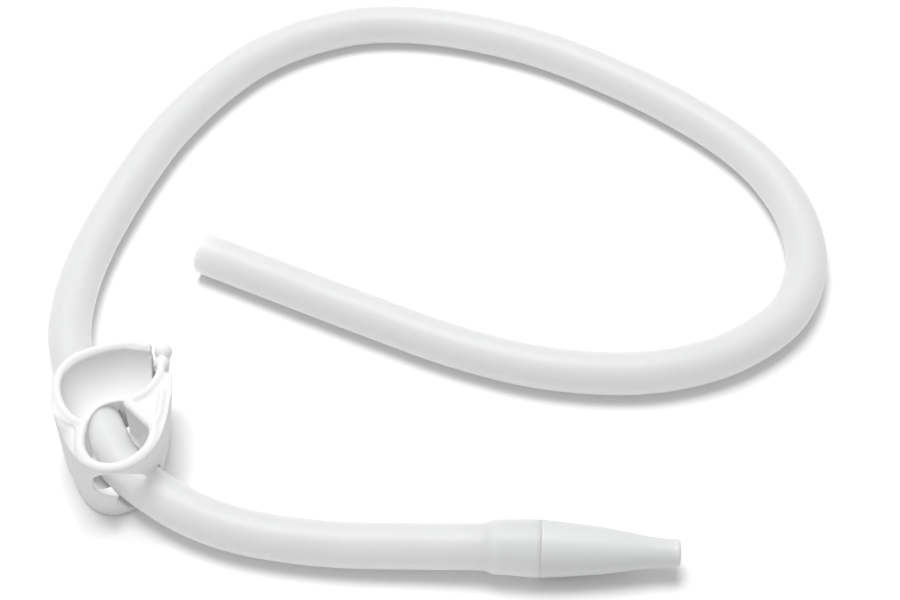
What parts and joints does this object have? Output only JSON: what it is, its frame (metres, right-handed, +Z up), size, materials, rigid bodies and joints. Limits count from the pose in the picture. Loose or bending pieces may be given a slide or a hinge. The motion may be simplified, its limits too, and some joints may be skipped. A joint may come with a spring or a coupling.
{
  "type": "saliva ejector hose",
  "caption": "Dental suction hose in milky silicone with a white tapered saliva ejector tip and a two-lobed handpiece clip.",
  "frame": {"origin": "on the table under the middle of the laid-out hose", "axes": "+X the way the tip points, +Y across the loop towards its far side, +Z up from the table"},
  "size_m": [0.209, 0.2014, 0.023],
  "materials": {
    "milky_silicone": "satin",
    "white_plastic": "gloss",
    "satin_white_plastic": "satin"
  },
  "bodies": {
    "hose": {"suction_hose": "milky_silicone"},
    "tip": {"ejector_tip": "white_plastic"},
    "clip": {"handpiece_clip": "satin_white_plastic"}
  },
  "joints": [
    {"name": "tip_pull", "type": "slide", "parent": "hose", "child": "tip", "axis": [0.9992, -0.041, 0], "range_m": [0, 0.014]},
    {"name": "clip_slide", "type": "slide", "parent": "hose", "child": "clip", "axis": [0.5, -0.866, 0], "range_m": [-0.006, 0.001]}
  ]
}
